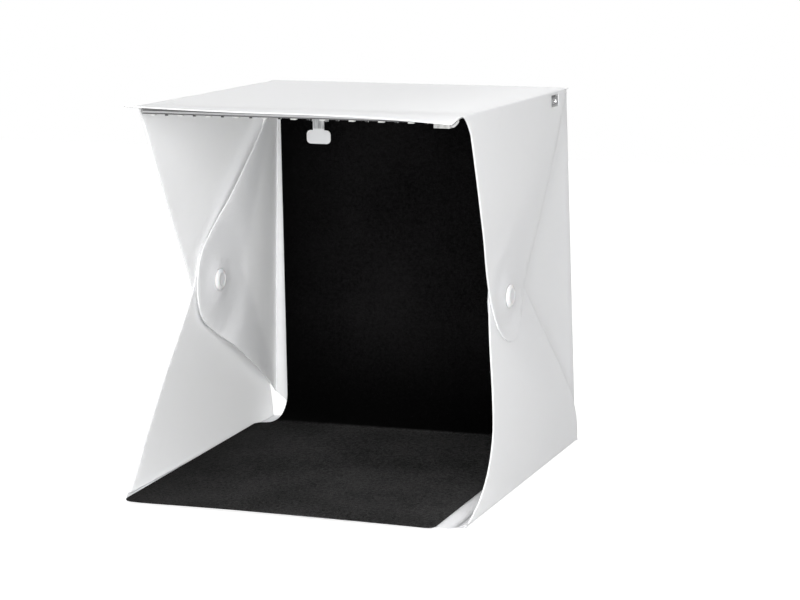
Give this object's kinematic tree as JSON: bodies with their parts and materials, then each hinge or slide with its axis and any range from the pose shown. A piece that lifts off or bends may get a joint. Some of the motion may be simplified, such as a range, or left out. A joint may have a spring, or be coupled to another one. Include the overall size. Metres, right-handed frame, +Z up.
{
  "type": "light tent cube",
  "caption": "Fold-flat table-top light tent: creased plastic sheet with snapped side flaps, a strip of lights under the top and a black backdrop on two hooks.",
  "frame": {"origin": "middle of the base panel's flat underside, on the surface that the tent stands on", "axes": "+Z up, -Y out of the open front, +X to the right seen from the front, on the side of the power socket"},
  "size_m": [0.232, 0.2439, 0.2465],
  "materials": {
    "white_sheet": "white polypropylene sheet, fine satin grain, slightly translucent",
    "snap_plastic": "white moulded, soft gloss",
    "foam_tape": "grey foam adhesive tape",
    "strip_board": "light grey solder mask",
    "led": "white package with pale yellow phosphor",
    "plug_plastic": "white moulded",
    "lead": "soft white sleeve",
    "socket_plastic": "grey moulded",
    "socket_steel": "thin plated steel",
    "socket_tongue": "black moulded",
    "backdrop": "matt black, fine napped grain"
  },
  "bodies": {
    "base": {"base_panel": "white_sheet", "backdrop_floor": "backdrop"},
    "back_panel": {"back_panel": "white_sheet", "backdrop_wall": "backdrop", "left_hook": "white_sheet", "right_hook": "white_sheet"},
    "top_panel": {"top_panel": "white_sheet", "strip_tape": "foam_tape", "strip_board": "strip_board", "led_01": "led", "led_02": "led", "led_03": "led", "led_04": "led", "led_05": "led", "led_06": "led", "led_07": "led", "led_08": "led", "led_09": "led", "led_10": "led", "strip_plug": "plug_plastic", "power_lead": "lead", "socket_box": "socket_plastic", "socket_shell": "socket_steel", "socket_tongue": "socket_tongue"},
    "front_lip": {"front_lip": "white_sheet"},
    "left_top_flap": {"left_top_flap": "white_sheet", "left_snap_outer_cap": "snap_plastic", "left_snap_socket": "snap_plastic"},
    "left_bottom_flap": {"left_bottom_flap": "white_sheet"},
    "left_back_flap": {"left_back_flap": "white_sheet", "left_snap_stud": "snap_plastic", "left_snap_inner_cap": "snap_plastic"},
    "right_top_flap": {"right_top_flap": "white_sheet", "right_snap_outer_cap": "snap_plastic", "right_snap_socket": "snap_plastic"},
    "right_bottom_flap": {"right_bottom_flap": "white_sheet"},
    "right_back_flap": {"right_back_flap": "white_sheet", "right_snap_stud": "snap_plastic", "right_snap_inner_cap": "snap_plastic"}
  },
  "joints": [
    {"name": "back_panel_fold", "type": "hinge", "parent": "base", "child": "back_panel", "pos_m": [0, 0.11865, 0.00095], "axis": [-1, 0, 0], "range_deg": [0, 90]},
    {"name": "top_panel_fold", "type": "hinge", "parent": "back_panel", "child": "top_panel", "pos_m": [0, 0.11865, 0.23905], "axis": [-1, 0, 0], "range_deg": [0, 90]},
    {"name": "front_lip_fold", "type": "hinge", "parent": "top_panel", "child": "front_lip", "pos_m": [0, -0.09345, 0.24364], "axis": [1, 0, 0], "range_deg": [0, 90]},
    {"name": "left_top_flap_fold", "type": "hinge", "parent": "top_panel", "child": "left_top_flap", "pos_m": [-0.10665, 0.00404, 0.24145], "axis": [0, 0.9998, -0.0209], "range_deg": [0, 90]},
    {"name": "left_bottom_flap_fold", "type": "hinge", "parent": "base", "child": "left_bottom_flap", "pos_m": [-0.11315, 0.0015, 0.00095], "axis": [0, -1, 0], "range_deg": [0, 54]},
    {"name": "left_back_flap_fold", "type": "hinge", "parent": "back_panel", "child": "left_back_flap", "pos_m": [-0.1084, 0.11755, 0.12], "axis": [-0.0271, 0, -0.9996], "range_deg": [0, 36]},
    {"name": "right_top_flap_fold", "type": "hinge", "parent": "top_panel", "child": "right_top_flap", "pos_m": [0.10665, 0.00404, 0.24145], "axis": [0, -0.9998, 0.0209], "range_deg": [0, 90]},
    {"name": "right_bottom_flap_fold", "type": "hinge", "parent": "base", "child": "right_bottom_flap", "pos_m": [0.11315, 0.0015, 0.00095], "axis": [0, 1, 0], "range_deg": [0, 54]},
    {"name": "right_back_flap_fold", "type": "hinge", "parent": "back_panel", "child": "right_back_flap", "pos_m": [0.1084, 0.11755, 0.12], "axis": [-0.0271, 0, 0.9996], "range_deg": [0, 36]}
  ],
  "couplings": [
    {"joint": "left_bottom_flap_fold", "follows": "left_top_flap_fold", "ratio": 0.6},
    {"joint": "left_back_flap_fold", "follows": "left_top_flap_fold", "ratio": 0.4},
    {"joint": "right_bottom_flap_fold", "follows": "right_top_flap_fold", "ratio": 0.6},
    {"joint": "right_back_flap_fold", "follows": "right_top_flap_fold", "ratio": 0.4}
  ]
}
